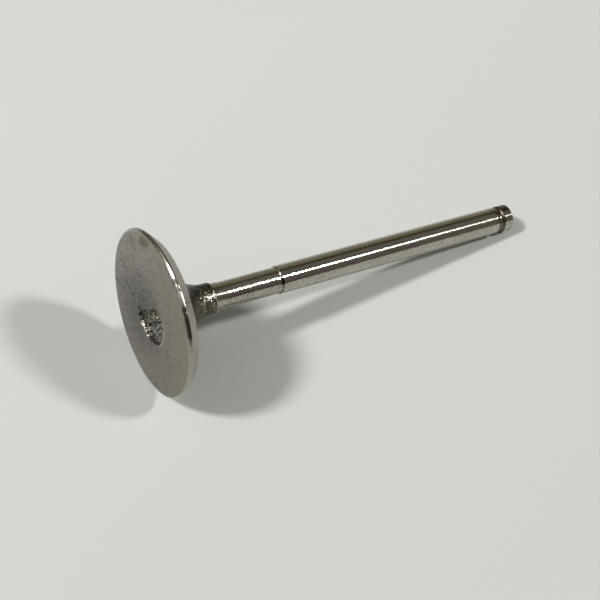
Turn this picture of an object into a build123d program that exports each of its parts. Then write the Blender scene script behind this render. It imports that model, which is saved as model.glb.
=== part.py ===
from build123d import *
from math import cos, radians, sin, sqrt, tan
import os

# An engine poppet valve, forged and ground from one piece of valve steel. It stands on its
# combustion face: the origin is the middle of that face, and +Z runs up the stem to the tip.
# All sizes are in millimetres, and heights are measured from the combustion face.

# Whole valve
overall_length = 105.0

# Head
head_diameter = 40.5
margin_height = 0.8          # plain rim between the combustion face and the seat
face_edge_radius = 0.45      # worn, rounded edge of the combustion face
seat_angle = 45.0            # of the ground seat to the combustion face
seat_width = 3.5             # along the slope of the seat
underside_angle = 20.0       # of the forged underside to the combustion face
neck_fillet_radius = 8.0     # sweep from the underside into the neck

# Neck, left as forged
neck_diameter = 7.6
neck_top = 15.4              # where the turned part of the stem begins
neck_skin_step = 0.18        # how far the tool cut below the forged skin

# Turned relief between the neck and the guided stem
relief_diameter = 6.5
relief_runout_radius = 25.0  # sweep with which the tool ran into the relief

# Ground stem that runs in the valve guide
stem_diameter = 7.0
stem_start = 33.5
stem_step_angle = 45.0       # of the short cone from the relief out to the stem

# Round-bottomed groove for the split keepers
groove_to_tip = 3.9          # from the middle of the groove to the end of the stem
groove_radius = 1.25
groove_depth = 0.6
groove_edge_radius = 0.12

# Tip that the rocker or tappet presses
tip_chamfer = 0.4

# Forged recess in the combustion face, part of which the facing cut has nearly cleaned up
recess_diameter = 14.0
recess_offset = (-0.2, 0.35)      # of its middle from the axis of the valve
recess_skim_depth = 0.12          # where the facing cut has almost reached its floor
recess_draft = 35.0               # slope of the recess walls, from upright
pocket_depth = 0.9                # where the forged floor is left
pocket_ledge_depth = 0.55         # of the shelf beside the straight edge
pocket_edge_y = -1.2              # straight edge between the skimmed part and the shelf
pocket_ledge_width = 3.0          # from the straight edge to the drop to the forged floor
pocket_shoulder_top = 4.4         # X where the skimmed metal on the +X side starts
pocket_shoulder_foot = 6.2        # X where it meets the round wall again
pocket_shoulder_length = 5.2      # measured along Y

# Radii and heights that follow from the sizes above
head_radius = head_diameter / 2
neck_radius = neck_diameter / 2
relief_radius = relief_diameter / 2
stem_radius = stem_diameter / 2

seat_inner_radius = head_radius - seat_width * cos(radians(seat_angle))
seat_top = margin_height + seat_width * sin(radians(seat_angle))
underside_top = seat_top + (seat_inner_radius - neck_radius) * tan(radians(underside_angle))

runout_start_radius = neck_radius - neck_skin_step
runout_depth = runout_start_radius - relief_radius
runout_end = neck_top + sqrt(2 * relief_runout_radius * runout_depth - runout_depth ** 2)
relief_end = stem_start - (stem_radius - relief_radius) / tan(radians(stem_step_angle))

groove_height = overall_length - groove_to_tip
groove_half_width = sqrt(groove_radius ** 2 - (groove_radius - groove_depth) ** 2)


def corner(sketch, radius, height):
    """The corner of a half section that lies nearest to a radius and a height."""
    target = Vector(radius, height)
    return min(sketch.vertices(), key=lambda vertex: (Vector(*vertex) - target).length)


def groove_edges(blank):
    """The two circles where the keeper groove meets the stem."""
    return [
        edge
        for edge in blank.edges().filter_by(GeomType.CIRCLE)
        if abs(edge.radius - stem_radius) < 0.001
        and abs(edge.center().Z - groove_height) < groove_half_width + 0.001
    ]


def turned_blank():
    """The whole valve as a solid of revolution, before the recess is cut."""
    with BuildPart() as blank:
        with BuildSketch(Plane.XZ) as half_section:
            with BuildLine():
                Polyline(
                    (relief_radius, runout_end),
                    (relief_radius, relief_end),
                    (stem_radius, stem_start),
                    (stem_radius, groove_height - groove_half_width),
                )
                ThreePointArc(
                    (stem_radius, groove_height - groove_half_width),
                    (stem_radius - groove_depth, groove_height),
                    (stem_radius, groove_height + groove_half_width),
                )
                Polyline(
                    (stem_radius, groove_height + groove_half_width),
                    (stem_radius, overall_length - tip_chamfer),
                    (stem_radius - tip_chamfer, overall_length),
                    (0, overall_length),
                    (0, 0),
                    (head_radius, 0),
                    (head_radius, margin_height),
                    (seat_inner_radius, seat_top),
                    (neck_radius, underside_top),
                    (neck_radius, neck_top),
                    (runout_start_radius, neck_top),
                )
                TangentArc(
                    (relief_radius, runout_end),
                    (runout_start_radius, neck_top),
                    tangent=(0, -1),
                )
            make_face()
            fillet(corner(half_section, head_radius, 0), face_edge_radius)
            fillet(corner(half_section, neck_radius, underside_top), neck_fillet_radius)
        revolve(axis=Axis.Z)
        fillet(groove_edges(blank), groove_edge_radius)
    return blank.part


def recess_circle():
    """The forged outline of the recess, on the combustion face."""
    return Pos(*recess_offset) * Circle(recess_diameter / 2)


def pocket_outline(first_y):
    """The deep part of the recess beyond first_y, short of the shoulder on the +X side."""
    shoulder_end_y = pocket_edge_y + pocket_shoulder_length
    half = recess_diameter
    deep_side = Polygon(
        (-half, pocket_edge_y),
        (pocket_shoulder_top, pocket_edge_y),
        (pocket_shoulder_foot, shoulder_end_y),
        (half, shoulder_end_y),
        (half, half),
        (-half, half),
        align=None,
    )
    beyond = Pos(0, first_y) * Rectangle(2 * half, half, align=(Align.CENTER, Align.MIN))
    return recess_circle() & deep_side & beyond


def recess_cutter():
    """The skimmed circle, the shelf and the forged floor as one tool."""
    skim = extrude(recess_circle(), recess_skim_depth, taper=recess_draft)
    shelf = extrude(pocket_outline(pocket_edge_y), pocket_ledge_depth, taper=recess_draft)
    floor = extrude(
        pocket_outline(pocket_edge_y + pocket_ledge_width), pocket_depth, taper=recess_draft
    )
    return skim + shelf + floor


valve = turned_blank() - recess_cutter()
valve.label = "valve"

os.makedirs("parts", exist_ok=True)
export_step(valve, "parts/valve.step")
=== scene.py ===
"""Engine valve: a poppet valve turned as one piece, with forged, turned and ground surfaces."""

from math import asin, atan2, cos, degrees, hypot, pi, radians, sin, sqrt, tan

import bpy
from bpy.props import FloatProperty, FloatVectorProperty, PointerProperty
from mathutils import Matrix, Vector, noise


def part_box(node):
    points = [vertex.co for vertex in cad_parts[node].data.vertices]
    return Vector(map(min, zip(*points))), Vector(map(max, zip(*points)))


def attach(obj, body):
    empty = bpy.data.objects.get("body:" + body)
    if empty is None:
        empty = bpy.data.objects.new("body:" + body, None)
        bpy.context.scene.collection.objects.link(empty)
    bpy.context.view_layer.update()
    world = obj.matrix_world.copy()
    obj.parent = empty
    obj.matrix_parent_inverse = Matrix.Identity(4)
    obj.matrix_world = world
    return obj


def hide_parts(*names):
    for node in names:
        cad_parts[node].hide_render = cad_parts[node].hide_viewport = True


bl_info = {
    "name": "Engine Valve",
    "version": (1, 0, 0),
    "blender": (4, 5, 0),
    "location": "3D View > Sidebar > Valve",
    "description": "Turns an engine valve with its forged and ground surfaces, and sets its stage",
    "category": "Add Mesh",
}

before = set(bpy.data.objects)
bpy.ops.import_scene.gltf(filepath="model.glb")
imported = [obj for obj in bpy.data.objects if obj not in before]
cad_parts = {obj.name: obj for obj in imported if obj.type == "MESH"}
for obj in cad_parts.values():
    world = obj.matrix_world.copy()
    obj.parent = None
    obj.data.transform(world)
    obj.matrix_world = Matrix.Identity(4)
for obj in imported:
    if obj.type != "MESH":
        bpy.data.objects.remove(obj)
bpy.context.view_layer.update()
TIP_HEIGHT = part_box("valve")[1].z

MM = 0.001


# ---------------------------------------------------------------------------
# Properties


def linear(hex_colour):
    """The linear RGB of an sRGB hex colour."""
    channels = [int(hex_colour[i : i + 2], 16) / 255 for i in (0, 2, 4)]
    return tuple(c / 12.92 if c <= 0.04045 else ((c + 0.055) / 1.055) ** 2.4 for c in channels)


def length(name, description, millimetres):
    """A length property, kept in metres, with its default in millimetres."""
    return FloatProperty(
        name=name, description=description, default=millimetres * MM, unit="LENGTH", precision=5
    )


def colour(name, description, hex_colour):
    """A colour property with an sRGB hex default."""
    return FloatVectorProperty(
        name=name,
        description=description,
        default=linear(hex_colour),
        subtype="COLOR",
        min=0.0,
        max=1.0,
    )


def power(name, description, watts):
    """The power of a lamp."""
    return FloatProperty(name=name, description=description, default=watts, min=0.0, unit="POWER")


class ValveSizes(bpy.types.PropertyGroup):
    """Sizes of the valve, measured from the combustion face."""

    head_diameter: length("Head diameter", "Across the rim of the head", 40.5)
    margin_height: length("Margin height", "From the face to the seat", 0.9)
    face_edge: length("Face edge", "Width of the worn edge of the face", 0.631)
    seat_width: length("Seat width", "Along the slope of the 45 degree seat", 3.5)
    neck_fillet: length("Neck fillet", "Sweep from the underside into the neck", 8.0)
    neck_diameter: length("Neck diameter", "Forged neck above the head", 7.6)
    neck_top: length("Neck top", "Height where the turned relief begins", 15.4)
    skin_step: length("Skin step", "How far the tool cut below the forged skin", 0.18)
    relief_diameter: length("Relief diameter", "Turned part below the ground stem", 6.5)
    relief_runout: length("Relief run-out", "Radius with which the tool ran in", 25.0)
    stem_diameter: length("Stem diameter", "Ground stem that runs in the guide", 7.0)
    stem_start: length("Stem start", "Height where the ground stem begins", 33.5)
    groove_to_tip: length("Groove to tip", "From the middle of the groove to the tip", 3.9)
    groove_radius: length("Groove radius", "Round bottom of the keeper groove", 1.25)
    groove_depth: length("Groove depth", "Below the stem", 0.6)
    tip_chamfer: length("Tip chamfer", "Bevel at the end of the stem", 0.4)
    recess_diameter: length("Recess diameter", "Forged recess in the face", 14.0)
    skim_depth: length("Skim depth", "Where the facing cut almost reached the recess floor", 0.12)
    shelf_depth: length("Shelf depth", "Shelf beside the straight edge of the recess", 0.55)
    floor_depth: length("Floor depth", "Forged floor of the recess", 0.9)


class ValveColours(bpy.types.PropertyGroup):
    """Colours of the valve's surfaces and of its table."""

    face: colour("Combustion face", "Lapped steel under a thin grey-brown film", "9c9891")
    face_olive: colour("Olive film", "Patches where the film is thicker", "99968a")
    stain: colour("Heat stain", "Reddish stain near the rim of the face", "5f3d31")
    # Also painted as highlights: the recess glints, the lit lower right lip of the skimmed circle
    # and the glint band of the neck
    bare_and_glint: colour("Bare steel", "Worn high spots and edges", "e2ded4")
    recess: colour("Recess", "Forged floor that the cutter left", "a39f98")
    recess_olive: colour("Recess shelf", "Oiled shelf beside the straight edge", "84806a")
    # Also the painted shade along the torn edges and at the foot of the walls of the recess
    recess_dirt_and_shade: colour("Recess dirt", "Oil carbon between the ridges", "231f15")
    seat: colour("Seat", "Ground seat", "bab5ae")
    rim: colour("Rim", "Ground margin and its worn edge", "a9a49b")
    neck: colour("Neck", "Forged skin of the underside and neck", "706b5c")
    # Also painted dark: patches on the rim, one a painted dark reflection, and painted shade on
    # the -Y side of the neck
    neck_scale_and_shade: colour("Neck scale", "Darker scale in the hollows of the skin", "454133")
    relief: colour("Relief", "Turned steel", "b3aea5")
    stem: colour("Stem", "Ground steel", "b8b4ab")
    groove: colour("Groove", "Keeper groove browned by oil", "827767")
    table: colour("Table", "Pale matt table top", "dadbd8")


class ValveStage(bpy.types.PropertyGroup):
    """Lamps of the stage."""

    right_lamp: power("Right lamp", "The weaker lamp", 39.5)
    left_lamp: power("Left lamp", "The stronger lamp", 45.0)
    room: FloatProperty(name="Room", description="The room's own light", default=1.0, min=0.0)


# ---------------------------------------------------------------------------
# Turning


def line_to(place, radius, height, parts=1):
    """Extrude the last point of the half section to a radius and height, in equal parts."""
    step = Vector((radius - place.x, 0, height - place.z)) / parts
    for _ in range(parts):
        bpy.ops.mesh.extrude_region_move(TRANSFORM_OT_translate={"value": step})
    place.xz = radius, height


def arc_to(place, centre_radius, centre_height, angle, steps):
    """Spin the last point about a centre. The operator turns against the axis's own sense."""
    centre = Vector((centre_radius, 0, centre_height))
    bpy.ops.mesh.spin(steps=steps, angle=-angle, center=centre, axis=(0, 1, 0))
    place.xz = (Matrix.Rotation(angle, 3, "Y") @ (place - centre) + centre).xz


def first_point():
    """Start a half section: a plane at the origin merged to one point. Returns the object."""
    bpy.ops.object.select_all(action="DESELECT")
    bpy.ops.mesh.primitive_plane_add(size=MM)
    bpy.ops.object.mode_set(mode="EDIT")
    bpy.ops.mesh.select_mode(type="VERT")
    bpy.ops.mesh.select_all(action="SELECT")
    bpy.ops.mesh.merge(type="CENTER")
    return bpy.context.object


SEGMENTS = 288  # faces round the axis, 0.44 mm wide at the rim
POLE_RADIUS = 0.3 * MM  # of the smallest ring round the axis
FINE_RINGS_RADIUS = 8.7 * MM  # how far out the face has the fine rings that take the recess
OUTER_RINGS_WIDTH = 1.8 * MM  # of the finer rings along the rim
FACE_EDGE_BENDS = ((0.4, 38, 4), (1.2, 30, 5), (0.15, 22, 3))  # radius in mm, degrees, steps
SEAT_ANGLE = radians(45)
UNDERSIDE_ANGLE = radians(20)
MERGE_DISTANCE = 0.0004 * MM  # points closer than this are one


def turned_blank(sizes):
    """Draw the half section from the face to the tip, and spin it about the axis of the valve."""
    blank = first_point()
    blank.name = blank.data.name = "engine_valve"
    head = sizes.head_diameter / 2
    neck = sizes.neck_diameter / 2
    relief = sizes.relief_diameter / 2
    stem = sizes.stem_diameter / 2

    # Face: fine rings where the recess is pressed in, wider ones out to the rim
    place = Vector((0, 0, 0))
    line_to(place, POLE_RADIUS, 0)
    line_to(place, FINE_RINGS_RADIUS, 0, 60)
    line_to(place, head - OUTER_RINGS_WIDTH, 0, 10)
    line_to(place, head - sizes.face_edge, 0, 6)

    # Worn edge of the face and margin
    lean = -90
    for bend, turn, steps in FACE_EDGE_BENDS:
        centre_radius = place.x - bend * MM * cos(radians(lean))
        centre_height = place.z - bend * MM * sin(radians(lean))
        arc_to(place, centre_radius, centre_height, -radians(turn), steps)
        lean += turn
    line_to(place, head, sizes.margin_height, 2)

    # Seat
    seat_run = sizes.seat_width * cos(SEAT_ANGLE)
    seat_inner = head - seat_run
    seat_top = sizes.margin_height + seat_run
    line_to(place, seat_inner, seat_top, 8)

    # Underside, sweep and neck
    corner = seat_top + (seat_inner - neck) * tan(UNDERSIDE_ANGLE)
    sweep = pi / 2 - UNDERSIDE_ANGLE
    setback = sizes.neck_fillet * tan(sweep / 2)
    foot = neck + setback * cos(UNDERSIDE_ANGLE), corner - setback * sin(UNDERSIDE_ANGLE)
    line_to(place, *foot, 16)
    arc_to(place, neck + sizes.neck_fillet, corner + setback, sweep, 44)
    line_to(place, neck, sizes.neck_top, 8)

    # Turned relief, with the arc in which the tool ran in
    line_to(place, neck - sizes.skin_step, sizes.neck_top)
    cut = place.x - relief
    run = sqrt(2 * sizes.relief_runout * cut - cut**2)
    bend = asin(run / sizes.relief_runout)
    arc_to(place, relief + sizes.relief_runout, place.z + run, bend, 10)
    line_to(place, relief, sizes.stem_start - (stem - relief), 20)

    # Ground stem, keeper groove and tip
    line_to(place, stem, sizes.stem_start, 2)
    groove = TIP_HEIGHT - sizes.groove_to_tip
    half = sqrt(sizes.groove_radius**2 - (sizes.groove_radius - sizes.groove_depth) ** 2)
    line_to(place, stem, groove - half, 40)
    bend = 2 * asin(half / sizes.groove_radius)
    arc_to(place, stem - sizes.groove_depth + sizes.groove_radius, groove, bend, 16)
    line_to(place, stem, TIP_HEIGHT - sizes.tip_chamfer, 3)
    line_to(place, stem - sizes.tip_chamfer, TIP_HEIGHT, 2)
    line_to(place, POLE_RADIUS, TIP_HEIGHT, 4)
    line_to(place, 0, TIP_HEIGHT)

    bpy.ops.mesh.select_all(action="SELECT")
    bpy.ops.mesh.spin(steps=SEGMENTS, angle=2 * pi, center=(0, 0, 0), axis=(0, 0, 1))
    bpy.ops.mesh.select_all(action="SELECT")
    bpy.ops.mesh.remove_doubles(threshold=MERGE_DISTANCE)
    bpy.ops.mesh.select_all(action="SELECT")
    bpy.ops.mesh.normals_make_consistent(inside=False)
    bpy.ops.object.mode_set(mode="OBJECT")
    return blank


def rise(value, low, high):
    """0 below low, 1 above high, with a smooth step between."""
    t = min(1.0, max(0.0, (value - low) / (high - low)))
    return t * t * (3 - 2 * t)


def crumple(place, size):
    """Hammered unevenness from about -1 to 1 with features of a size, at a place."""
    return noise.fractal(place / size, 0.9, 2.1, 3)


# ---------------------------------------------------------------------------
# Recess


RECESS_CENTRE = Vector((-0.2, 0.35)) * MM
RECESS_REACH = 9.0 * MM  # radius inside which the face is pressed and worn
RECESS_ROOM = 1.5 * MM  # and height, more than the recess is deep
WALL_SLOPE = tan(radians(35))  # of the recess walls, from upright
EDGE_Y = -1.2 * MM  # straight edge between the skimmed part and the shelf
DROP_Y = 1.8 * MM  # straight edge between the shelf and the forged floor
DROP_LEAN = 0.1  # of that edge, in Y for each X
TEAR = 0.8 * MM  # how far the two edges are torn back and forth
TEAR_SIZE = 1.2 * MM  # width of one tear
SHOULDER_TOP = Vector((4.4, -1.2)) * MM
SHOULDER_FOOT = Vector((6.2, 4.0)) * MM


def inside_circle(x, y, sizes):
    """How far a point of the face lies inside the round outline of the recess."""
    return sizes.recess_diameter / 2 - hypot(x - RECESS_CENTRE.x, y - RECESS_CENTRE.y)


def jagged(x, first_y):
    """The Y of a torn edge of the deep part, at X."""
    lean = DROP_LEAN if first_y == DROP_Y else 0.0
    return first_y - lean * x + TEAR * crumple(Vector((x, first_y, 3 * MM)), TEAR_SIZE)


def inside_pocket(x, y, sizes, first_y):
    """How far a point lies inside the deep part beyond first_y, short of the shoulder on +X."""
    inside = min(inside_circle(x, y, sizes), y - jagged(x, first_y))
    if y < SHOULDER_FOOT.y:
        along = (SHOULDER_FOOT - SHOULDER_TOP).normalized()
        away = Vector((x, y)) - SHOULDER_TOP
        inside = min(inside, along.x * away.y - along.y * away.x)
    return inside


def press(piece, inside, depth):
    """Push the face up where inside() is positive, to a depth, with sloping walls round it."""
    wall = depth * WALL_SLOPE
    bpy.ops.object.mode_set(mode="EDIT")
    bpy.ops.mesh.select_all(action="DESELECT")
    bpy.ops.object.mode_set(mode="OBJECT")
    for point in piece.data.vertices:
        x, y, z = point.co
        on_face = z < RECESS_ROOM and hypot(x, y) < RECESS_REACH
        point.select = on_face and inside(x, y) >= wall
    bpy.ops.object.mode_set(mode="EDIT")
    bpy.ops.transform.translate(
        value=(0, 0, depth),
        use_proportional_edit=True,
        proportional_edit_falloff="LINEAR",
        proportional_size=wall,
    )
    bpy.ops.object.mode_set(mode="OBJECT")


def press_recess(piece, sizes):
    """Press the skimmed circle, the shelf and the forged floor into the face."""
    shelf_drop = sizes.shelf_depth - sizes.skim_depth
    floor_drop = sizes.floor_depth - sizes.shelf_depth
    press(piece, lambda x, y: inside_circle(x, y, sizes), sizes.skim_depth)
    press(piece, lambda x, y: inside_pocket(x, y, sizes, EDGE_Y), shelf_drop)
    press(piece, lambda x, y: inside_pocket(x, y, sizes, DROP_Y), floor_drop)


# ---------------------------------------------------------------------------
# Forged skin and wear


TOUCH = 0.02 * MM  # how close to an edge a point or a face still counts as inside it

RIDGE_SIZE = 0.6 * MM  # ridges of the deep part, drawn out along X and slanting a little
RIDGE_STRETCH = 2.6
RIDGE_LEAN = 0.22
SHELF_RIDGE, FLOOR_RIDGE = 0.15, 0.09  # their height on the shelf, and more of it on the floor
FLOOR_SPAN = (1.0 * MM, 2.4 * MM)  # Y over which the shelf gives way to the floor
RECESS_GLEAMS = (  # x, y and half widths of spots painted bright as glints of the lamp, in mm
    (3.3, -0.8, 0.8, 0.3),
    (2.3, 0.75, 0.55, 0.35),
    (2.9, 1.6, 0.55, 0.32),
    (1.9, 2.5, 0.5, 0.25),
    (0.7, 5.6, 0.8, 0.32),
    (-6.5, 2.9, 1.3, 1.9),
)
GLEAM_DENT = 0.45  # how far a painted glint spot lies below the ridges, in mm
FAR_WALL_X = -4.0 * MM  # beyond it a gleam lies on the wall of the recess, and isn't dented
WALL_GLEAM_FOOT = (0.14 * MM, 0.2 * MM)  # heights between which the gleam of the wall comes
WALL_GLEAM_TOP = (0.4 * MM, 0.55 * MM)  # and goes
RECESS_GRIME = (-5.9, -1.6, 1.7, 0.9)  # baked oil that has crept out of the recess
POCKET_DARK_SPOT = (-6.6, 0.0, 2.4, 1.6)  # a darker spot in the corner of the recess, at -X
DARK_FADE_SPAN = (5.0 * MM, 6.2 * MM)  # Y over which the darkening of the floor fades
LIP_LEAN = 0.1  # how far the lower right lip leans in, in mm

NECK_SKIN_START = 4.2 * MM  # where the underside begins to be uneven
NECK_LUMPS = 0.65 * MM

RIM_HEIGHT = 1.0 * MM  # zone of the rim's wear, up from the face and in from the edge
RIM_WIDTH = 0.6 * MM
RIM_DENTS = (  # degrees round the axis, half width in degrees, depth in mm
    (-20.5, 2.0, 0.06),
    (-15.0, 2.0, 0.06),
    (-1.0, 1.5, 0.09),
    (-58.0, 2.0, 0.05),
    (24.0, 1.6, 0.05),
    (152.0, 2.4, 0.06),
)
RIM_FLATS = (  # degrees round the axis and half width in degrees of flattened places
    (-27.5, 6.5),
    (-9.5, 4.5),
)
FLATTENED = 0.75  # share of the bulge of the edge that a flat takes off
# Dark patches on the rim: the one at 10 degrees is a painted dark reflection; the others darken
# and dull the rim so that its glints break
RIM_DARK_PATCHES = (  # degrees round the axis, half width in degrees, share
    (-18.3, 5.4, 0.8),
    (-1.0, 3.0, 0.6),
    (10.0, 8.5, 0.6),
)
RIM_GLINT = -17.0  # degrees round the axis of a gap in the dark patches, where the rim glints


def near(x, y, spot):
    """1 in the middle of an oval spot of the face and 0 at its edge, all in millimetres."""
    middle_x, middle_y, half_x, half_y = spot
    away = hypot((x / MM - middle_x) / half_x, (y / MM - middle_y) / half_y)
    return 1 - rise(away, 0.3, 1.0)


def weather_pocket(vertex, sizes, pocket):
    """Raise the ridges of the deep part of the recess. Returns how bright and how dark it is
    painted: worn ridge tops and painted glints, grime and painted shade.
    """
    x, y, z = vertex.co
    ridges = crumple(Vector((x / RIDGE_STRETCH, y + RIDGE_LEAN * x, 0.0)), RIDGE_SIZE)
    gleam = max(near(x, y, spot) for spot in RECESS_GLEAMS)
    tallest = SHELF_RIDGE + FLOOR_RIDGE * rise(y, *FLOOR_SPAN)
    height = rise(pocket, 0, 0.5 * MM) * ridges * tallest
    if x < FAR_WALL_X:
        gleam *= rise(z, *WALL_GLEAM_FOOT) * (1 - rise(z, *WALL_GLEAM_TOP))
        height *= 1 - 0.6 * gleam
    else:
        height += GLEAM_DENT * gleam
    vertex.co.z += height * MM
    # Painted bright: worn ridge tops, and painted glints on the gleam spots
    worn = max(0.6 * rise(ridges, 0.25, 0.6), gleam * rise(ridges, -0.8, -0.2))

    # Painted shade along the torn edges and at the foot of the walls, and grime with painted shade
    # between the ridges
    edge = 1 - rise(y - jagged(x, EDGE_Y), 0.25 * MM, 0.75 * MM)
    drop = abs(y - jagged(x, DROP_Y) - 0.2 * MM)
    edge = max(edge, 1 - rise(drop, 0.1 * MM, 0.35 * MM))
    foot = 1 - rise(pocket, 0.1 * MM, 0.5 * MM)
    grime_and_shade = max(0.9 * edge, 0.25 * foot, rise(-ridges, 0.05, 0.3))
    grime_and_shade = max(grime_and_shade, 0.9 * near(x, y, POCKET_DARK_SPOT) * rise(-ridges, -0.7, -0.1))
    return worn, grime_and_shade * (1 - gleam) * (1 - 0.6 * rise(y, *DARK_FADE_SPAN))


def weather_face(vertex, sizes, pocket):
    """Roughen the skimmed part of the recess. Returns how bright and how grimy it and the face are
    painted; the bright lip is a painted reflection, most on its lower right.
    """
    x, y = vertex.co.xy
    ring = inside_circle(x, y, sizes)
    patches = crumple(vertex.co, 1.1 * MM)
    lower_right = rise((x + y) / MM, 7.6, 9.0) * rise(x / MM, 1.0, 2.2)
    lip = 1 - rise(abs(ring), 0.15 * MM, 0.45 * MM)
    grime_and_shade = 0.9 * near(x, y, RECESS_GRIME) * rise(patches, -0.5, 0.2)
    if ring > 0:
        lean_in = LIP_LEAN * lower_right * rise(ring, -0.05 * MM, 0.4 * MM)
        vertex.co.z += (0.02 * patches + lean_in) * MM
        streak = rise(crumple(Vector((x / 3, y, 0.0)), 0.5 * MM), 0.1, 0.5)
        edge_streak = 0.8 * streak * rise(pocket, -0.6 * MM, -0.1 * MM)
        grime_and_shade = max(grime_and_shade, 0.04 + 0.42 * streak, edge_streak)
    # Painted reflection: the lip is painted bright, most on its lower right
    return lip * (0.12 + 0.8 * lower_right * rise(patches, -0.6, 0.0)), grime_and_shade


def weather_neck(vertex):
    """Raise the hammered skin of the underside and neck. Returns how bright its base is painted:
    high spots, in the band where the lamp glints, a painted highlight with wear.
    """
    x, y, z = vertex.co
    beaten = crumple(vertex.co, NECK_LUMPS)
    depth = 0.02 + 0.07 * rise(z, 8.0 * MM, 12.0 * MM)
    depth *= rise(z, NECK_SKIN_START, 6 * MM)
    vertex.co += Vector((x, y, 0)).normalized() * depth * MM * beaten
    # Painted highlight: brightness kept to the band of Y where the lamp glints
    bare_and_glint = rise(z, 9.5 * MM, 12.5 * MM) * (1 - 0.8 * rise(y, 0.2 * MM, 1.6 * MM))
    return rise(beaten, -0.1, 0.4) * bare_and_glint * (1 - 0.8 * rise(-y, 1.2 * MM, 2.4 * MM))


def flatten_rim(vertex, sizes, azimuth):
    """Press the widest bend of the worn face edge towards its chord, where it is flattened."""
    (first, turned, _), (_, bend, _) = FACE_EDGE_BENDS[:2]
    start = Vector((sin(radians(turned)), 1 - cos(radians(turned)))) * first * MM
    slope = radians(turned + bend / 2)
    outward = Vector((sin(slope), -cos(slope)))
    reach = vertex.co.xy.length
    from_edge = Vector((reach - sizes.head_diameter / 2 + sizes.face_edge, vertex.co.z))
    bulge = max(0.0, (from_edge - start).dot(outward))
    flat = max(1 - rise(abs(azimuth - middle) / half, 0.7, 1.0) for middle, half in RIM_FLATS)
    vertex.co.xy *= 1 - FLATTENED * flat * bulge * outward.x / reach
    vertex.co.z -= FLATTENED * flat * bulge * outward.y


def weather_rim(vertex, sizes):
    """Flatten and dent the worn edge of the face. Returns how far the place is painted dark by the
    dark patches.
    """
    azimuth = degrees(atan2(vertex.co.y, vertex.co.x))
    flatten_rim(vertex, sizes, azimuth)
    grime_and_shade = 0.0
    for middle, half, share in RIM_DARK_PATCHES:
        film = share * (1 - rise(abs(azimuth - middle) / half, 0.7, 1.0))
        grime_and_shade = max(grime_and_shade, film * rise(abs(azimuth - RIM_GLINT), 0.5, 1.6))
    for middle, half, depth in RIM_DENTS:
        away = abs(azimuth - middle) / half
        vertex.co.xy *= 1 - depth * MM / (sizes.head_diameter / 2) * (1 - rise(away, 0.0, 1.0))
    return grime_and_shade


def weather(piece, sizes):
    """Give the recess and the neck their forged skin, and the rim its small dents."""
    head, neck = sizes.head_diameter / 2, sizes.neck_diameter / 2
    points = piece.data.vertices
    worn, grime_and_shade = [0.0] * len(points), [0.0] * len(points)
    for index, vertex in enumerate(points):
        x, y, z = vertex.co
        radius = hypot(x, y)
        if z < RECESS_ROOM and radius < RECESS_REACH:
            pocket = inside_pocket(x, y, sizes, EDGE_Y)
            wear = weather_pocket if pocket > 0 else weather_face
            worn[index], grime_and_shade[index] = wear(vertex, sizes, pocket)
        elif NECK_SKIN_START < z < sizes.neck_top + TOUCH and radius > neck - TOUCH:
            worn[index] = weather_neck(vertex)
        elif z < RIM_HEIGHT and radius > head - RIM_WIDTH:
            grime_and_shade[index] = weather_rim(vertex, sizes)
    # Stored per point: wear with painted glints, and grime with painted shade
    for name, values in (("worn", worn), ("grime_and_shade", grime_and_shade)):
        piece.data.attributes.new(name, "FLOAT", "POINT").data.foreach_set("value", values)


# ---------------------------------------------------------------------------
# Materials


# Settings that nodes share
ADD = {"operation": "ADD"}
ADD_CLAMPED = {"operation": "ADD", "use_clamp": True}
SUBTRACT = {"operation": "SUBTRACT"}
MULTIPLY = {"operation": "MULTIPLY"}
MULTIPLY_ADD = {"operation": "MULTIPLY_ADD"}
ABSOLUTE = {"operation": "ABSOLUTE"}
DOT_PRODUCT = {"operation": "DOT_PRODUCT"}
SMOOTH = {"interpolation_type": "SMOOTHSTEP"}
BLEND = {"data_type": "RGBA"}
# Point attributes: painted brightness, wear with painted glints, and painted darkness, grime with
# painted shade
WORN_AND_GLINT = {"attribute_name": "worn"}
GRIME_AND_SHADE = {"attribute_name": "grime_and_shade"}

# Films, marks and dark bands, some of them painted shade, in linear RGB
STREAK_TINT = linear("dad5d7")
NICK = linear("4b483f")
HANDLED = linear("56504a")
SCORCH = linear("3f3329")
SCRATCH = linear("302d26")
DARK_BAND = linear("1d1a15")

FLOOR_BLEND = (1.2 * MM, 2.4 * MM)  # Y over which the olive shelf gives way to the grey floor
STEP_SHADE_HEIGHT = 33.6 * MM  # of the painted dark reflection at the step from the relief to the stem
TIP_DARK_SPAN = (98.5 * MM, 102.4 * MM)  # heights between which the tip darkens towards -Y
GROOVE_DARK_EDGE = (101.95 * MM, 102.2 * MM)  # and the darker edge of the groove

FACE_SCRATCHES = (  # start and end on the face, and width, in millimetres
    ((-0.4, -18.8), (0.5, -15.6), 0.5),
    ((-9.4, -14.0), (-9.0, -12.0), 0.6),
    ((-16.3, -9.3), (-12.6, -6.7), 0.7),
    ((-10.5, -8.6), (-9.0, -6.2), 0.6),
    ((-8.8, -5.4), (-7.0, -5.0), 0.5),
    ((-0.5, -9.5), (0.5, -9.0), 0.4),
    ((2.4, -5.35), (4.0, -5.35), 0.35),
    ((4.2, -3.75), (5.2, -3.5), 0.35),
    ((5.6, -3.2), (6.9, -2.9), 0.35),
    ((-7.8, 16.4), (-6.7, 17.4), 0.6),
)
SCRATCH_SWAY = 1.1 * MM  # how far the scratches stray to each side of a straight line
SEAT_SCRATCH = ((20.2, -2.0), (17.6, -1.7), 0.3)


def per_mm(size):
    """The scale of a pattern whose features have a size in millimetres."""
    return 1 / (size * MM)


def darker(tone, share):
    """A linear colour dimmed to a share of itself."""
    return tuple(channel * share for channel in tone)


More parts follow.
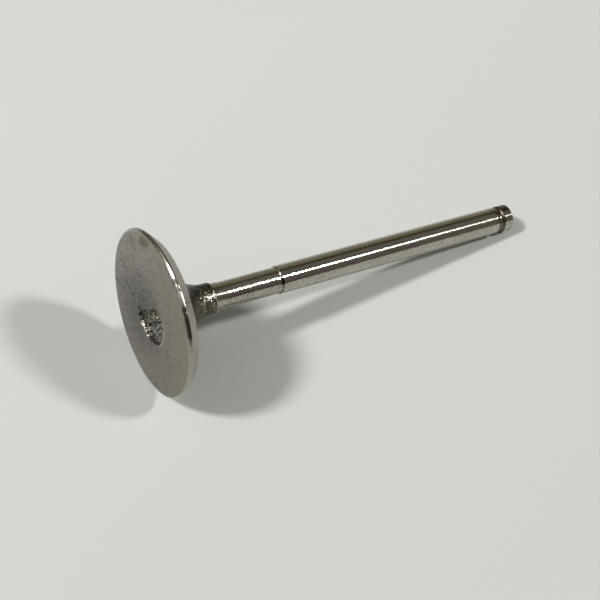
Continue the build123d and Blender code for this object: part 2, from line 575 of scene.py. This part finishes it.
def add_node(tree, kind, settings, *values, **named):
    """Add a shader node with its settings, and set or link its inputs: values in the order of
    the inputs in use, and named ones by name. A linked node gives its first output in use."""
    made = tree.nodes.new("ShaderNode" + kind)
    for name, value in settings.items():
        setattr(made, name, value)
    pairs = list(zip((socket for socket in made.inputs if socket.enabled), values))
    pairs += [(made.inputs[name.replace("_", " ")], value) for name, value in named.items()]
    for socket, value in pairs:
        if isinstance(value, bpy.types.Node):
            value = next(output for output in value.outputs if output.enabled)
        if isinstance(value, bpy.types.NodeSocket):
            tree.links.new(value, socket)
        elif socket.type == "RGBA":
            socket.default_value = (*value, 1)
        else:
            socket.default_value = value
    return made


def new_material(name):
    """An empty node material, its tree and its object coordinates."""
    material = bpy.data.materials.new(name)
    material.use_nodes = True
    tree = material.node_tree
    tree.nodes.clear()
    return material, tree, add_node(tree, "TexCoord", {}).outputs["Object"]


def pattern(tree, place, size, stretch=(1, 1, 1), low=0.3, high=0.7, detail=3.0, seed=0.0):
    """Noise with features of a size in millimetres, stretched along the axes, from 0 to 1."""
    scale = tuple(per_mm(size) / share for share in stretch)
    moved = add_node(tree, "Mapping", {}, place, Location=(seed, seed, seed), Scale=scale)
    cloud = add_node(tree, "TexNoise", {}, moved, Scale=1.0, Detail=detail)
    return add_node(tree, "MapRange", {}, cloud, low, high)


def near_spot(tree, place, x, y, half_x, half_y):
    """1 in the middle of an oval spot of the face, in millimetres, and 0 at its edge."""
    away = add_node(tree, "VectorMath", SUBTRACT, place, (x * MM, y * MM, 0))
    oval = (per_mm(half_x), per_mm(half_y), 0.0)
    reach = add_node(tree, "VectorMath", MULTIPLY, away, oval)
    reach = add_node(tree, "VectorMath", {"operation": "LENGTH"}, reach)
    return add_node(tree, "MapRange", SMOOTH, reach, 1.0, 0.2)


def near_line(tree, place, start, end, width):
    """1 on a line between two points of the face, in millimetres, and 0 at its width."""
    start, end = Vector((*start, 0)) * MM, Vector((*end, 0)) * MM
    span = end - start
    flat = add_node(tree, "VectorMath", MULTIPLY, place, (1, 1, 0))
    away = add_node(tree, "VectorMath", SUBTRACT, flat, start)
    share = add_node(tree, "VectorMath", DOT_PRODUCT, away, span / span.length_squared)
    share = add_node(tree, "Math", ADD_CLAMPED, share, 0.0)
    foot = add_node(tree, "VectorMath", {"operation": "SCALE"}, span, share)
    gap = add_node(tree, "VectorMath", {"operation": "DISTANCE"}, away, foot)
    return add_node(tree, "MapRange", SMOOTH, gap, width * MM, 0.0)


def metal(tree, base, roughness, height, depth, along_axis=0.0):
    """A steel surface. depth is the height of its bumps in millimetres; along_axis spreads
    its highlights along the valve, across marks that run round it."""
    gloss = {}
    if along_axis:
        around = add_node(tree, "Tangent", {"direction_type": "RADIAL", "axis": "Z"})
        gloss = {"Anisotropic": along_axis, "Anisotropic_Rotation": 0.25, "Tangent": around}
    bump = add_node(tree, "Bump", {}, Height=height, Strength=1.0, Distance=depth * MM)
    gloss |= {"Metallic": 1.0, "Roughness": roughness, "Normal": bump}
    shader = add_node(tree, "BsdfPrincipled", {}, Base_Color=base, **gloss)
    add_node(tree, "OutputMaterial", {}, shader)


def lapped_face_steel(colours):
    """Valve steel faced and lapped, then dulled by heat: an even grey-brown without sharp
    reflections, cloudy at a few millimetres, darker where it was handled, with fine dark
    scratches and one reddish stain."""
    material, tree, place = new_material("lapped_face_steel")
    grime_and_shade = add_node(tree, "Attribute", GRIME_AND_SHADE).outputs["Fac"]
    worn = add_node(tree, "Attribute", WORN_AND_GLINT).outputs["Fac"]

    # Film, olive and even towards +X and +Y, streaked and nicked elsewhere
    apart = add_node(tree, "SeparateXYZ", {}, place)
    corner = add_node(tree, "Math", ADD, *apart.outputs[:2])
    corner = add_node(tree, "Math", MULTIPLY, corner, per_mm(60))
    clouds = pattern(tree, place, 5.0, (1, 1.4, 1), 0.35, 0.65)
    clouds = add_node(tree, "Math", ADD_CLAMPED, clouds, corner)
    streaks = pattern(tree, place, 1.3, (2.2, 1, 1), 0.36, 0.64, 4.0, seed=4.0)
    nicks = pattern(tree, place, 0.7, (1.8, 1, 1), 0.6, 0.7, seed=7.0)
    film = add_node(tree, "Mix", BLEND, clouds, colours.face, colours.face_olive)
    shade = near_spot(tree, place, -5, -1, 15, 15)
    film = add_node(tree, "Mix", BLEND, shade, film, darker(colours.face, 0.6))
    streaked = add_node(tree, "MapRange", {}, clouds, To_Min=1.0, To_Max=0.55)
    streaked = add_node(tree, "Math", MULTIPLY, streaks, streaked)
    film = add_node(tree, "Mix", BLEND | {"blend_type": "MULTIPLY"}, streaked, film, STREAK_TINT)
    nicked = add_node(tree, "MapRange", {}, clouds, To_Min=0.6, To_Max=0.35)
    nicked = add_node(tree, "Math", MULTIPLY, nicks, nicked)
    film = add_node(tree, "Mix", BLEND, nicked, film, NICK)
    flecks = pattern(tree, place, 0.5, (2.0, 1, 1), 0.54, 0.66, seed=11.0)
    handled = near_spot(tree, place, -11, -5, 13, 17)
    handled = add_node(tree, "Math", MULTIPLY, handled, flecks)
    film = add_node(tree, "Mix", BLEND, handled, film, HANDLED)

    # Reddish stain with a scorched middle
    ragged = pattern(tree, place, 0.9, low=0.35, high=0.6, seed=9.0)
    stain = near_spot(tree, place, 7.2, -16.7, 4.6, 2.1)
    stain = add_node(tree, "Math", MULTIPLY, stain, ragged)
    film = add_node(tree, "Mix", BLEND, stain, film, colours.stain)
    ragged = pattern(tree, place, 0.6, low=0.4, high=0.6)
    scorch = near_spot(tree, place, 6.0, -16.8, 2.0, 1.3)
    scorch = add_node(tree, "Math", MULTIPLY, scorch, ragged)
    film = add_node(tree, "Mix", BLEND, scorch, film, SCORCH)

    # Scratches that wander and break
    warp = add_node(tree, "TexNoise", {}, place, Scale=per_mm(1.6), Detail=2.0)
    sway = Vector((SCRATCH_SWAY, SCRATCH_SWAY, 0.0))
    wander = add_node(tree, "VectorMath", MULTIPLY_ADD, warp.outputs["Color"], 2 * sway, place)
    wander = add_node(tree, "VectorMath", SUBTRACT, wander, sway)
    marks = 0.0
    for start, end, width in FACE_SCRATCHES:
        line = near_line(tree, wander, start, end, width)
        marks = add_node(tree, "Math", {"operation": "MAXIMUM"}, line, marks)
    broken = pattern(tree, place, 0.45, low=0.36, high=0.56, seed=2.0)
    broken = add_node(tree, "Math", MULTIPLY, marks, broken)
    film = add_node(tree, "Mix", BLEND, broken, film, SCRATCH)

    # Painted dark: grime, with painted shade near the torn edge; painted bright: wear, and the
    # painted reflection on the lower right lip
    film = add_node(tree, "Mix", BLEND, grime_and_shade, film, colours.recess_dirt_and_shade)
    film = add_node(tree, "Mix", BLEND, worn, film, colours.bare_and_glint)
    rough = add_node(tree, "MapRange", {}, streaks, To_Min=0.42, To_Max=0.36)
    grain = pattern(tree, place, 0.25, (3, 1, 1), 0.0, 1.0, 2.0)
    metal(tree, film, rough, grain, 0.008)
    return material


def forged_recess_steel(colours):
    """The forged floor that the facing cut didn't reach: uneven and glinting, olive with oil on
    the shelf and grey in the deep part, with oil carbon and painted shade between its ridges and
    along its torn edges, and painted glints on a few spots."""
    material, tree, place = new_material("forged_recess_steel")
    grime_and_shade = add_node(tree, "Attribute", GRIME_AND_SHADE).outputs["Fac"]
    worn = add_node(tree, "Attribute", WORN_AND_GLINT).outputs["Fac"]
    along = add_node(tree, "SeparateXYZ", {}, place).outputs["Y"]
    deep = add_node(tree, "MapRange", {}, along, *FLOOR_BLEND)
    skin = add_node(tree, "Mix", BLEND, deep, colours.recess_olive, colours.recess)
    fine = pattern(tree, place, 0.4, (2.4, 1, 1), 0.4, 0.56, seed=3.0)
    fine = add_node(tree, "MapRange", {}, fine, To_Min=0.0, To_Max=0.5)
    skin = add_node(tree, "Mix", BLEND, fine, skin, colours.recess_dirt_and_shade)
    # Painted dark: grime and painted shade; painted bright: worn ridge tops and painted glints
    skin = add_node(tree, "Mix", BLEND, grime_and_shade, skin, colours.recess_dirt_and_shade)
    skin = add_node(tree, "Mix", BLEND, worn, skin, colours.bare_and_glint)
    rough = add_node(tree, "MapRange", {}, grime_and_shade, To_Min=0.25, To_Max=0.38)
    grain = pattern(tree, place, 0.35, (1.8, 1, 1), 0.3, 0.7)
    metal(tree, skin, rough, grain, 0.058)
    return material


def ground_rim_steel(colours):
    """The ground margin and the worn edge of the face: smooth and glinting, with marks round the
    rim, painted dark and dulled in patches: one is a painted dark reflection, the others break its
    glints. The marks are drawn at 0.12 mm, coarser than the grit's own, so that they show."""
    material, tree, place = new_material("ground_rim_steel")
    grime_and_shade = add_node(tree, "Attribute", GRIME_AND_SHADE).outputs["Fac"]
    wear = pattern(tree, place, 2.0)
    film = add_node(tree, "MapRange", {}, wear, To_Min=0.0, To_Max=0.5)
    base = add_node(tree, "Mix", BLEND, film, colours.rim, colours.face)
    # Painted dark patches: a dark reflection, and patches that break the glints
    base = add_node(tree, "Mix", BLEND, grime_and_shade, base, colours.neck_scale_and_shade)
    thick = add_node(tree, "Math", SUBTRACT | {"use_clamp": True}, grime_and_shade, 0.6)
    rough = add_node(tree, "MapRange", {}, wear, To_Min=0.24, To_Max=0.32)
    rough = add_node(tree, "Math", ADD, rough, thick)
    grain = pattern(tree, place, 0.12, (8, 8, 1), 0.0, 1.0, 2.0)
    metal(tree, base, rough, grain, 0.002)
    return material


def ground_seat_steel(colours):
    """The seat, ground on its own cone: an even grey with fine marks round it and one faint
    scratch across it. The marks are drawn at 0.16 mm, coarser than the grit's own, so that
    they show."""
    material, tree, place = new_material("ground_seat_steel")
    wear = pattern(tree, place, 1.6, low=0.35, high=0.65)
    film = add_node(tree, "MapRange", {}, wear, To_Min=0.0, To_Max=0.5)
    base = add_node(tree, "Mix", BLEND, film, colours.seat, colours.face)
    scratch = near_line(tree, place, *SEAT_SCRATCH)
    scratch = add_node(tree, "MapRange", {}, scratch, To_Min=0.0, To_Max=0.5)
    base = add_node(tree, "Mix", BLEND, scratch, base, colours.neck_scale_and_shade)
    grain = pattern(tree, place, 0.16, (8, 8, 1), 0.0, 1.0, 2.0)
    metal(tree, base, 0.48, grain, 0.004)
    return material


def forged_skin_steel(colours):
    """The underside and neck as the hammer left them: dark olive scale, pitted at half a
    millimetre, painted darker towards -Y as shade, and painted bright on its high spots where the
    lamp glints, a painted highlight with wear."""
    material, tree, place = new_material("forged_skin_steel")
    worn = add_node(tree, "Attribute", WORN_AND_GLINT).outputs["Fac"]
    scale = pattern(tree, place, 1.2, seed=1.0)
    pits = pattern(tree, place, 0.4, low=0.35, high=0.62, seed=5.0)
    skin = add_node(tree, "Mix", BLEND, scale, colours.neck, colours.neck_scale_and_shade)
    pitted = add_node(tree, "MapRange", {}, pits, To_Min=0.6, To_Max=0.0)
    skin = add_node(tree, "Mix", BLEND, pitted, skin, colours.neck_scale_and_shade)
    apart = add_node(tree, "SeparateXYZ", {}, place)
    # Painted shade: darker towards -Y
    thick = add_node(tree, "MapRange", {}, apart.outputs["Y"], -0.8 * MM, -2.2 * MM, 0.0, 0.8)
    skin = add_node(tree, "Mix", BLEND, thick, skin, darker(colours.neck_scale_and_shade, 0.6))
    # Painted highlight with wear: bright high spots
    bare_and_glint = add_node(tree, "MapRange", {}, worn, To_Min=0.0, To_Max=0.9)
    skin = add_node(tree, "Mix", BLEND, bare_and_glint, skin, colours.bare_and_glint)
    rough = add_node(tree, "MapRange", {}, scale, To_Min=0.26, To_Max=0.38)
    smooth = add_node(tree, "Math", MULTIPLY, worn, 0.14)
    rough = add_node(tree, "Math", SUBTRACT, rough, smooth)
    metal(tree, skin, rough, pits, 0.03)
    return material


def fine_specks(tree, place):
    """Specks of baked oil in the marks of the tool, about 0.25 mm wide."""
    return pattern(tree, place, 0.25, (1.3, 1.3, 1.6), 0.5, 0.68, 2.0, seed=8.0)


def step_shade(tree, place, base):
    """The base darkened in a band at the step from the relief to the stem, on the side that is
    away from -Y: a painted dark reflection, wider than the step."""
    apart = add_node(tree, "SeparateXYZ", {}, place)
    gap = add_node(tree, "Math", SUBTRACT, apart.outputs["Z"], STEP_SHADE_HEIGHT)
    gap = add_node(tree, "Math", ABSOLUTE, gap)
    share = add_node(tree, "MapRange", {}, gap, 0.45 * MM, 0.2 * MM)
    side = add_node(tree, "MapRange", {}, apart.outputs["Y"], -1.2 * MM, -0.6 * MM)
    fade = add_node(tree, "MapRange", {}, apart.outputs["Y"], 2.4 * MM, 1.2 * MM, 0.25, 0.9)
    share = add_node(tree, "Math", MULTIPLY, share, side)
    share = add_node(tree, "Math", MULTIPLY, share, fade)
    return add_node(tree, "Mix", BLEND, share, base, DARK_BAND)


def turned_relief_steel(colours):
    """Turned between the neck and the stem: bright under a thin brownish film, with fine rings
    from the tool. They are drawn at 0.4 mm, coarser than its feed, so that they show."""
    material, tree, place = new_material("turned_relief_steel")
    rings = pattern(tree, place, 0.4, (4, 4, 1), 0.2, 0.8)
    film = pattern(tree, place, 4.0, seed=3.0)
    film = add_node(tree, "MapRange", {}, film, To_Min=0.0, To_Max=0.3)
    base = add_node(tree, "Mix", BLEND, film, colours.relief, colours.face_olive)
    specks = fine_specks(tree, place)
    dark = add_node(tree, "MapRange", {}, specks, To_Min=0.0, To_Max=0.6)
    base = add_node(tree, "Mix", BLEND, dark, base, colours.neck_scale_and_shade)
    # Painted dark reflection at the step to the stem
    base = step_shade(tree, place, base)
    rough = add_node(tree, "MapRange", {}, specks, To_Min=0.15, To_Max=0.48)
    bumps = add_node(tree, "Math", MULTIPLY, rings, 0.25)
    bumps = add_node(tree, "Math", ADD, bumps, specks)
    metal(tree, base, rough, bumps, 0.006, along_axis=0.8)
    return material


def ground_stem_steel(colours):
    """Centreless ground: bright, with short fine marks that run round the stem. They are about
    0.02 mm apart in truth, and drawn at 0.3 mm so that they show. Near the tip it is darker
    towards -Y."""
    material, tree, place = new_material("ground_stem_steel")
    marks = pattern(tree, place, 0.3, (4, 4, 1), 0.2, 0.8)
    film = pattern(tree, place, 6.0, seed=6.0)
    film = add_node(tree, "MapRange", {}, film, To_Min=0.0, To_Max=0.25)
    base = add_node(tree, "Mix", BLEND, film, colours.stem, colours.face_olive)
    specks = fine_specks(tree, place)
    dark = add_node(tree, "MapRange", {}, specks, To_Min=0.0, To_Max=0.6)
    base = add_node(tree, "Mix", BLEND, dark, base, colours.neck_scale_and_shade)
    # Painted dark reflection at the step to the stem
    base = step_shade(tree, place, base)
    apart = add_node(tree, "SeparateXYZ", {}, place)
    tip = add_node(tree, "MapRange", {}, apart.outputs["Z"], *TIP_DARK_SPAN)
    above = add_node(tree, "MapRange", {}, apart.outputs["Y"], -1.3 * MM, -2.2 * MM, 0.0, 0.75)
    dark_top = add_node(tree, "Math", MULTIPLY, tip, above)
    base = add_node(tree, "Mix", BLEND, dark_top, base, colours.neck_scale_and_shade)
    rough = add_node(tree, "MapRange", {}, specks, To_Min=0.12, To_Max=0.3)
    bumps = add_node(tree, "Math", MULTIPLY, marks, 0.3)
    bumps = add_node(tree, "Math", ADD, bumps, specks)
    metal(tree, base, rough, bumps, 0.002, along_axis=0.85)
    return material


def browned_groove_steel(colours):
    """The keeper groove, turned and then browned by baked oil: dull, with a darker edge on the
    side of the tip."""
    material, tree, place = new_material("browned_groove_steel")
    film = pattern(tree, place, 0.6, (2, 2, 1), 0.35, 0.65)
    base = add_node(tree, "Mix", BLEND, film, colours.groove, darker(colours.groove, 0.6))
    along = add_node(tree, "SeparateXYZ", {}, place).outputs["Z"]
    edge = add_node(tree, "MapRange", {}, along, *GROOVE_DARK_EDGE)
    base = add_node(tree, "Mix", BLEND, edge, base, DARK_BAND)
    rough = add_node(tree, "MapRange", {}, film, To_Min=0.22, To_Max=0.4)
    grain = pattern(tree, place, 0.25, (4, 4, 1))
    metal(tree, base, rough, grain, 0.01)
    return material


GROOVE_HALF_WIDTH = 1.1 * MM
SHARP_ANGLE = radians(32)  # edges that turn more than this stay crisp


def give_finishes(piece, sizes, colours):
    """Give each face the material of its zone, by its height and radius."""
    makers = (
        lapped_face_steel,
        forged_recess_steel,
        ground_rim_steel,
        ground_seat_steel,
        forged_skin_steel,
        turned_relief_steel,
        ground_stem_steel,
        browned_groove_steel,
    )
    for maker in makers:
        piece.data.materials.append(maker(colours))
    slots = {maker.__name__: index for index, maker in enumerate(makers)}
    head = sizes.head_diameter / 2
    seat_run = sizes.seat_width * cos(SEAT_ANGLE)
    groove = TIP_HEIGHT - sizes.groove_to_tip
    for polygon in piece.data.polygons:
        x, y, z = polygon.center
        radius = hypot(x, y)
        if radius < head - sizes.face_edge and z < RECESS_ROOM:
            pocket = radius < RECESS_REACH and inside_pocket(x, y, sizes, EDGE_Y) > 0
            name = "forged_recess_steel" if pocket else "lapped_face_steel"
        elif z < sizes.margin_height:
            name = "ground_rim_steel"
        elif z < sizes.margin_height + seat_run and radius > head - seat_run:
            name = "ground_seat_steel"
        elif z < sizes.neck_top + TOUCH:
            name = "forged_skin_steel"
        elif z < sizes.stem_start:
            name = "turned_relief_steel"
        elif abs(z - groove) < GROOVE_HALF_WIDTH and radius < sizes.stem_diameter / 2 - TOUCH:
            name = "browned_groove_steel"
        else:
            name = "ground_stem_steel"
        polygon.material_index = slots[name]


class VALVE_OT_make_valve(bpy.types.Operator):
    """Turn the valve from one bar, press its recess and give each surface its finish"""

    bl_idname = "valve.make_valve"
    bl_label = "Engine valve"
    bl_options = {"REGISTER", "UNDO"}

    def execute(self, context):
        """Make the piece and put it in the place of the plain valve."""
        sizes, colours = context.scene.valve_sizes, context.scene.valve_colours
        piece = turned_blank(sizes)
        press_recess(piece, sizes)
        weather(piece, sizes)
        give_finishes(piece, sizes, colours)
        bpy.ops.object.select_all(action="DESELECT")
        piece.select_set(True)
        context.view_layer.objects.active = piece
        bpy.ops.object.shade_smooth_by_angle(angle=SHARP_ANGLE)
        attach(piece, "root")
        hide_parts("valve")
        return {"FINISHED"}


# ---------------------------------------------------------------------------
# Stage


TABLE_NORMAL = Vector((0.6951, -0.7013, -0.1584)).normalized()
TABLE_WIDTH = 4.0
TABLE_FADE = (105 * MM, -86 * MM)  # across the table, from its full tone to the painted shade
TABLE_GREYER = 0.905

# Lamps: the way from the valve, then how far away and how wide, in metres
RIGHT_LAMP_SIDE = Vector((0.867, -0.236, 0.438))
RIGHT_LAMP_PLACE = (3.0, 0.36)
LEFT_LAMP_SIDE = Vector((0.406, -0.574, -0.711))
LEFT_LAMP_PLACE = (2.7, 0.4)

CAMERA_PLACE = Vector((259.42, -20.90, -95.71)) * MM
CAMERA_FORWARD = Vector((-0.8843, 0.0925, 0.4576))
CAMERA_RIGHT = Vector((0.4662, 0.2280, 0.8548))
CAMERA_LENS = 72  # mm
CAMERA_SENSOR = 36  # mm across

# The room's light from one side of the table, 0, to the other, 1
ACROSS_TABLE = Vector((0.7071, 0.7071, 0.0))
ROOM_SHADES = (
    (0.0, "979282"),
    (0.08, "a59f8d"),
    (0.14, "9a947f"),
    (0.2, "848069"),
    (0.27, "4c4736"),
    (0.34, "565244"),
    (0.41, "7d7a6f"),
    (0.49, "7d7b73"),
    (0.6, "72706b"),
    (0.85, "73706a"),
    (0.9, "76726c"),
    (0.93, "5e5a54"),
    (0.96, "403d38"),
    (1.0, "3c3934"),
)
HALO = (cos(radians(45)), cos(radians(15)))  # where the left lamp begins to light its wall
HALO_STRENGTH = 0.45
BAND_MIDDLE = 0.52  # of the band of the room that is lit, towards the tip
BAND_EDGE, BAND_FULL = 0.5, 0.2  # how far from its middle it fades out, and is full
BEYOND_BAND = 0.35
BACKDROP = linear("dcdcd8")


def matt_laminate(colours):
    """Table top, pale and matt, with painted shade: a little greyer towards the camera, as if the
    light fell off. It is seen from its upper side only."""
    material, tree, place = new_material("matt_laminate")
    up = add_node(tree, "SeparateXYZ", {}, place).outputs["Y"]
    fade = add_node(tree, "MapRange", {}, up, *TABLE_FADE)
    greyer = darker(colours.table, TABLE_GREYER)
    tone = add_node(tree, "Mix", BLEND, fade, colours.table, greyer)
    surface = add_node(tree, "BsdfPrincipled", {}, Base_Color=tone, Roughness=0.7)
    clear = add_node(tree, "BsdfTransparent", {})
    below = add_node(tree, "NewGeometry", {}).outputs["Backfacing"]
    mix = add_node(tree, "MixShader", {}, below, surface, clear)
    add_node(tree, "OutputMaterial", {}, mix)
    return material


def lay_table(sizes, colours):
    """A table on which the valve lies on its rim and its tip."""
    bpy.ops.object.select_all(action="DESELECT")
    bpy.ops.mesh.primitive_grid_add(x_subdivisions=4, y_subdivisions=4, size=TABLE_WIDTH)
    table = bpy.context.object
    table.name = table.data.name = "table"
    touch = TABLE_NORMAL.z * sizes.margin_height - TABLE_NORMAL.xy.length * sizes.head_diameter / 2
    right = (Vector((0, 0, 1)) - TABLE_NORMAL.z * TABLE_NORMAL).normalized()
    turn = Matrix((right, TABLE_NORMAL.cross(right), TABLE_NORMAL)).transposed().to_4x4()
    table.matrix_world = Matrix.Translation(TABLE_NORMAL * touch) @ turn
    table.data.materials.append(matt_laminate(colours))


def hang_lamp(name, side, distance, size, watts):
    """A round studio lamp that faces the valve."""
    bpy.ops.object.light_add(type="AREA", location=side.normalized() * distance)
    lamp = bpy.context.object
    lamp.name = lamp.data.name = name
    lamp.data.shape = "DISK"
    lamp.data.size = size
    lamp.data.energy = watts
    lamp.rotation_euler = side.to_track_quat("Z", "Y").to_euler()


def light_room(scene, strength):
    """A dim room across the table, dark low on the right and brownish low on the left, with
    a wall behind the left lamp that it lights. The camera sees a pale backdrop instead."""
    world = bpy.data.worlds.new("room")
    scene.world = world
    world.use_nodes = True
    tree = world.node_tree
    tree.nodes.clear()
    place = add_node(tree, "TexCoord", {}).outputs["Generated"]
    across = add_node(tree, "VectorMath", DOT_PRODUCT, place, ACROSS_TABLE)
    across = add_node(tree, "MapRange", {}, across, -1.0, 1.0)
    ramp = add_node(tree, "ValToRGB", {}, across)
    stops = ramp.color_ramp.elements
    for position, _ in ROOM_SHADES[1:-1]:
        stops.new(position)
    for stop, (_, tone) in zip(stops, ROOM_SHADES):
        stop.color = (*linear(tone), 1)

    toward = LEFT_LAMP_SIDE.normalized()
    halo = add_node(tree, "VectorMath", DOT_PRODUCT, place, toward)
    halo = add_node(tree, "MapRange", SMOOTH, halo, *HALO, To_Max=HALO_STRENGTH)
    along = add_node(tree, "SeparateXYZ", {}, place).outputs["Z"]
    band = add_node(tree, "Math", SUBTRACT, along, BAND_MIDDLE)
    band = add_node(tree, "Math", ABSOLUTE, band)
    band = add_node(tree, "MapRange", SMOOTH, band, BAND_EDGE, BAND_FULL, To_Min=BEYOND_BAND)
    shade = add_node(tree, "VectorMath", MULTIPLY_ADD, ramp, band, halo)

    lit = add_node(tree, "Background", {}, Color=shade, Strength=strength)
    seen = add_node(tree, "Background", {}, Color=BACKDROP, Strength=1.0)
    straight = add_node(tree, "LightPath", {}).outputs["Is Camera Ray"]
    mix = add_node(tree, "MixShader", {}, straight, lit, seen)
    add_node(tree, "OutputWorld", {}, mix)


def place_camera(scene):
    """A long lens above the table, that looks at the valve from the side of its face."""
    bpy.ops.object.camera_add(location=CAMERA_PLACE)
    camera = bpy.context.object
    camera.name = camera.data.name = "camera"
    camera.data.lens = CAMERA_LENS
    camera.data.sensor_width = CAMERA_SENSOR
    forward = CAMERA_FORWARD.normalized()
    right = (CAMERA_RIGHT - CAMERA_RIGHT.dot(forward) * forward).normalized()
    turn = Matrix((right, right.cross(forward), -forward)).transposed().to_4x4()
    camera.matrix_world = Matrix.Translation(CAMERA_PLACE) @ turn
    camera.data.clip_start = 0.01
    camera.data.clip_end = 10
    scene.camera = camera


class VALVE_OT_set_stage(bpy.types.Operator):
    """Lay the pale table, hang the lamps and place the camera"""

    bl_idname = "valve.set_stage"
    bl_label = "Stage"
    bl_options = {"REGISTER", "UNDO"}

    def execute(self, context):
        """Make the table, the lamps, the room's light and the camera."""
        scene = context.scene
        stage = scene.valve_stage
        lay_table(scene.valve_sizes, scene.valve_colours)
        hang_lamp("right_lamp", RIGHT_LAMP_SIDE, *RIGHT_LAMP_PLACE, stage.right_lamp)
        hang_lamp("left_lamp", LEFT_LAMP_SIDE, *LEFT_LAMP_PLACE, stage.left_lamp)
        light_room(scene, stage.room)
        place_camera(scene)
        scene.view_settings.view_transform = "Standard"
        return {"FINISHED"}


# ---------------------------------------------------------------------------
# Panel and registration


class VALVE_PT_panel(bpy.types.Panel):
    """The valve's sizes, colours and operators"""

    bl_idname = "VALVE_PT_panel"
    bl_label = "Engine Valve"
    bl_space_type = "VIEW_3D"
    bl_region_type = "UI"
    bl_category = "Valve"

    def draw(self, context):
        """List the operators and the properties."""
        scene = context.scene
        for operator in OPERATORS:
            self.layout.operator(operator.bl_idname)
        for group in (scene.valve_sizes, scene.valve_colours, scene.valve_stage):
            box = self.layout.box()
            for name in group.__annotations__:
                box.prop(group, name)


OPERATORS = (VALVE_OT_make_valve, VALVE_OT_set_stage)
CLASSES = (ValveSizes, ValveColours, ValveStage, *OPERATORS, VALVE_PT_panel)


def register():
    """Register the classes and hang the properties on the scene."""
    for made in CLASSES:
        bpy.utils.register_class(made)
    bpy.types.Scene.valve_sizes = PointerProperty(type=ValveSizes)
    bpy.types.Scene.valve_colours = PointerProperty(type=ValveColours)
    bpy.types.Scene.valve_stage = PointerProperty(type=ValveStage)


def unregister():
    """Take the properties off the scene and the classes out."""
    del bpy.types.Scene.valve_stage
    del bpy.types.Scene.valve_colours
    del bpy.types.Scene.valve_sizes
    for made in reversed(CLASSES):
        bpy.utils.unregister_class(made)


def main():
    """Make the valve and its stage."""
    register()
    bpy.ops.valve.make_valve()
    bpy.ops.valve.set_stage()


if __name__ == "__main__":
    main()
